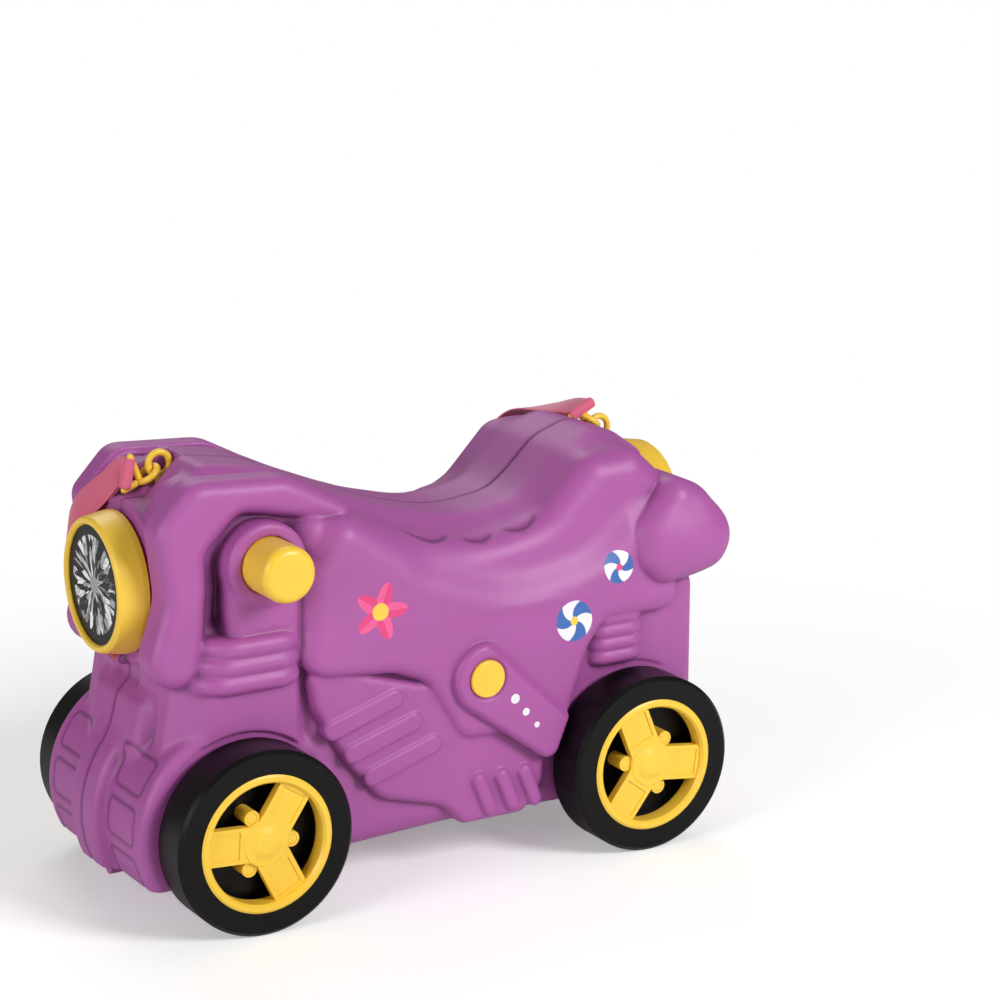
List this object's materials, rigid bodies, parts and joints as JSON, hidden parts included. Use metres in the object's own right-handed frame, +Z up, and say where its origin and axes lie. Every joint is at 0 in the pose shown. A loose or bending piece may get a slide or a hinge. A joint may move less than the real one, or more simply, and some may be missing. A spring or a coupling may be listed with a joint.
{
  "type": "ride-on suitcase",
  "caption": "Clamshell child's ride-on case shaped like a toy motorcycle, hinged along its floor, with lamp-shaped latches, spinning wheels, stub grips and a hook-on pull strap.",
  "frame": {"origin": "on the floor, midway between the extremes of length and width", "axes": "+X from the head lamp to the tail lamp, +Y to the rider's right, +Z up"},
  "size_m": [0.472, 0.236, 0.3114],
  "materials": {
    "shell": "satin, fine grain",
    "yellow": "semi-gloss",
    "wheel_black": "matt",
    "steel": "bright zinc",
    "latch_red": "semi-gloss",
    "lamp_face": "printed",
    "webbing": "flat weave",
    "elastic": "ribbed weave",
    "stud_white": "satin"
  },
  "bodies": {
    "right_half": {"right_shell": "shell", "hinge_pin": "steel", "front_right_axle": "steel", "front_right_axle_clip": "steel", "rear_right_axle": "steel", "rear_right_axle_clip": "steel", "right_grip": "yellow", "right_grip_screw": "steel", "right_button": "yellow", "front_latch_pin": "steel", "rear_latch_pin": "steel", "front_eye": "yellow", "rear_eye": "yellow", "front_hook": "yellow", "rear_hook": "yellow", "strap": "webbing", "elastic_rising": "elastic", "elastic_falling": "elastic", "elastic_studs": "stud_white"},
    "left_half": {"left_shell": "shell", "front_left_axle": "steel", "front_left_axle_clip": "steel", "rear_left_axle": "steel", "rear_left_axle_clip": "steel", "left_grip": "yellow", "left_grip_screw": "steel", "left_button": "yellow"},
    "front_latch": {"front_latch_plate": "latch_red", "headlight_ring": "yellow", "headlight_disc": "lamp_face"},
    "rear_latch": {"rear_latch_plate": "latch_red", "tail_light_ring": "yellow", "tail_light_disc": "lamp_face"},
    "front_left_wheel": {"front_left_tyre": "wheel_black", "front_left_rim": "yellow", "front_left_rim_screws": "steel"},
    "front_right_wheel": {"front_right_tyre": "wheel_black", "front_right_rim": "yellow", "front_right_rim_screws": "steel"},
    "rear_left_wheel": {"rear_left_tyre": "wheel_black", "rear_left_rim": "yellow", "rear_left_rim_screws": "steel"},
    "rear_right_wheel": {"rear_right_tyre": "wheel_black", "rear_right_rim": "yellow", "rear_right_rim_screws": "steel"}
  },
  "joints": [
    {"name": "case_hinge", "type": "hinge", "parent": "right_half", "child": "left_half", "pos_m": [0, 0, 0.0235], "axis": [1, 0, 0], "range_deg": [0, 130]},
    {"name": "front_latch_hinge", "type": "hinge", "parent": "right_half", "child": "front_latch", "pos_m": [-0.20207, 0.011, 0.1707], "axis": [0, -1, 0], "range_deg": [0, 85]},
    {"name": "rear_latch_hinge", "type": "hinge", "parent": "right_half", "child": "rear_latch", "pos_m": [0.20293, 0.011, 0.1707], "axis": [0, 1, 0], "range_deg": [0, 85]},
    {"name": "front_left_wheel_spin", "type": "hinge", "parent": "left_half", "child": "front_left_wheel", "pos_m": [-0.15407, -0.1, 0.065], "axis": [0, 1, 0], "continuous": true},
    {"name": "front_right_wheel_spin", "type": "hinge", "parent": "right_half", "child": "front_right_wheel", "pos_m": [-0.15407, 0.1, 0.065], "axis": [0, 1, 0], "continuous": true},
    {"name": "rear_left_wheel_spin", "type": "hinge", "parent": "left_half", "child": "rear_left_wheel", "pos_m": [0.15593, -0.1, 0.065], "axis": [0, 1, 0], "continuous": true},
    {"name": "rear_right_wheel_spin", "type": "hinge", "parent": "right_half", "child": "rear_right_wheel", "pos_m": [0.15593, 0.1, 0.065], "axis": [0, 1, 0], "continuous": true}
  ]
}
